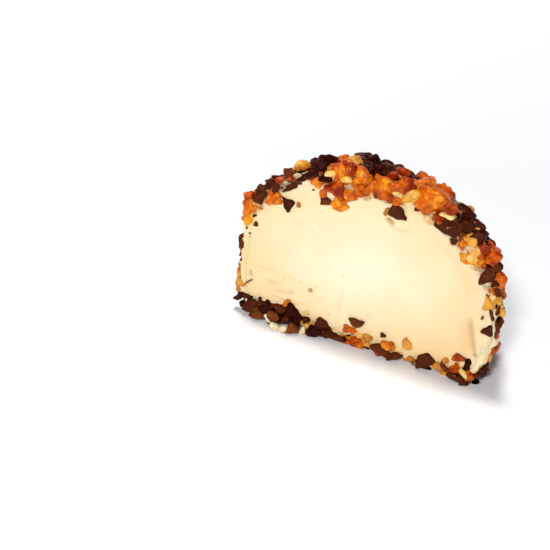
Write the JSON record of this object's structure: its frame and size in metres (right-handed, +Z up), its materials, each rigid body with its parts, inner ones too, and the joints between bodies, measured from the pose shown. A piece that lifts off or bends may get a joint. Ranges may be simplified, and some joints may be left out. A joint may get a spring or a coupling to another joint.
{
  "type": "chocolate truffle half",
  "caption": "Half of a large round cream truffle, cut upright, its dome and foot coated with chopped chocolate and caramelised nut.",
  "frame": {"origin": "on the plane that the foot rests on, under the middle of the bounding box", "axes": "+X along the cut face, to the right of someone who faces it; +Y from the cut face into the half; +Z up"},
  "size_m": [0.0772, 0.0438, 0.0533],
  "materials": {
    "crunch_coat": "softened cream packed with chopped dark chocolate and caramelised nut, glossy and uneven",
    "cream_filling": "pale frozen cream, cut smooth with a knife, satin, slightly translucent",
    "dark_chocolate": "chopped dark chocolate, glossy outside and dull brown where cut",
    "caramel_nut": "chopped nut in clear amber caramel, glossy and translucent",
    "pale_nut": "pale toasted nut, satin"
  },
  "bodies": {
    "root": {"crunch_coat": "crunch_coat", "cream_filling": "cream_filling"}
  },
  "joints": []
}
